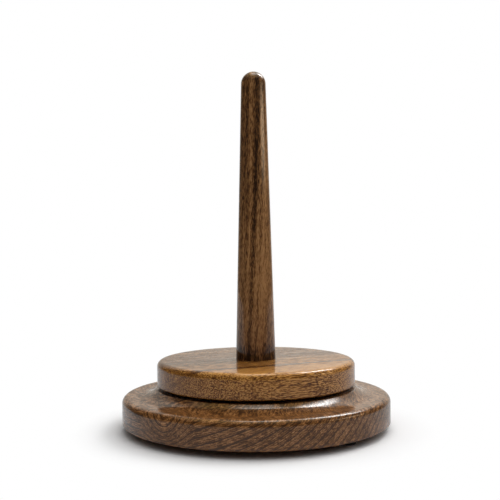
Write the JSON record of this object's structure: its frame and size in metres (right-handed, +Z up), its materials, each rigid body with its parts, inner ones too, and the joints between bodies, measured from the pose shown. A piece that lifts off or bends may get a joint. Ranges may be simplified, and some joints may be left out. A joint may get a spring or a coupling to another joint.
{
  "type": "paper towel holder",
  "caption": "Free-standing wooden paper towel holder: a tapered post on a turntable that spins on a flat ball bearing let into a heavy round base with rubber feet.",
  "frame": {"origin": "on the spin axis, on the surface that the rubber feet stand on", "axes": "+Z up along the post and the spin axis, -Y towards the viewer of the picture, +X to the right"},
  "size_m": [0.2286, 0.2286, 0.3051],
  "materials": {
    "base_walnut": "satin lacquer",
    "turntable_walnut": "satin lacquer",
    "post_walnut": "satin lacquer",
    "zinc_steel": "bright zinc plate",
    "ball_steel": "polished",
    "black_rubber": "matt"
  },
  "bodies": {
    "base": {"base": "base_walnut", "bearing_lower_plate": "zinc_steel", "bearing_eyelet": "zinc_steel", "lower_plate_screws": "zinc_steel", "rubber_foot_1": "black_rubber", "rubber_foot_2": "black_rubber", "rubber_foot_3": "black_rubber", "foot_washers": "zinc_steel", "foot_screws": "zinc_steel"},
    "turntable": {"turntable": "turntable_walnut", "post": "post_walnut", "post_screw": "zinc_steel", "bearing_upper_plate": "zinc_steel", "upper_plate_screws": "zinc_steel"},
    "ball_ring": {"ball_cage": "zinc_steel", "bearing_ball_01": "ball_steel", "bearing_ball_02": "ball_steel", "bearing_ball_03": "ball_steel", "bearing_ball_04": "ball_steel", "bearing_ball_05": "ball_steel", "bearing_ball_06": "ball_steel", "bearing_ball_07": "ball_steel", "bearing_ball_08": "ball_steel", "bearing_ball_09": "ball_steel", "bearing_ball_10": "ball_steel", "bearing_ball_11": "ball_steel", "bearing_ball_12": "ball_steel", "bearing_ball_13": "ball_steel", "bearing_ball_14": "ball_steel", "bearing_ball_15": "ball_steel", "bearing_ball_16": "ball_steel"}
  },
  "joints": [
    {"name": "turntable_spin", "type": "hinge", "parent": "base", "child": "turntable", "pos_m": [0, 0, 0.0372], "axis": [0, 0, 1], "continuous": true},
    {"name": "ball_ring_spin", "type": "hinge", "parent": "base", "child": "ball_ring", "pos_m": [0, 0, 0.03322], "axis": [0, 0, 1], "continuous": true}
  ],
  "couplings": [
    {"joint": "ball_ring_spin", "follows": "turntable_spin", "ratio": 0.5}
  ]
}
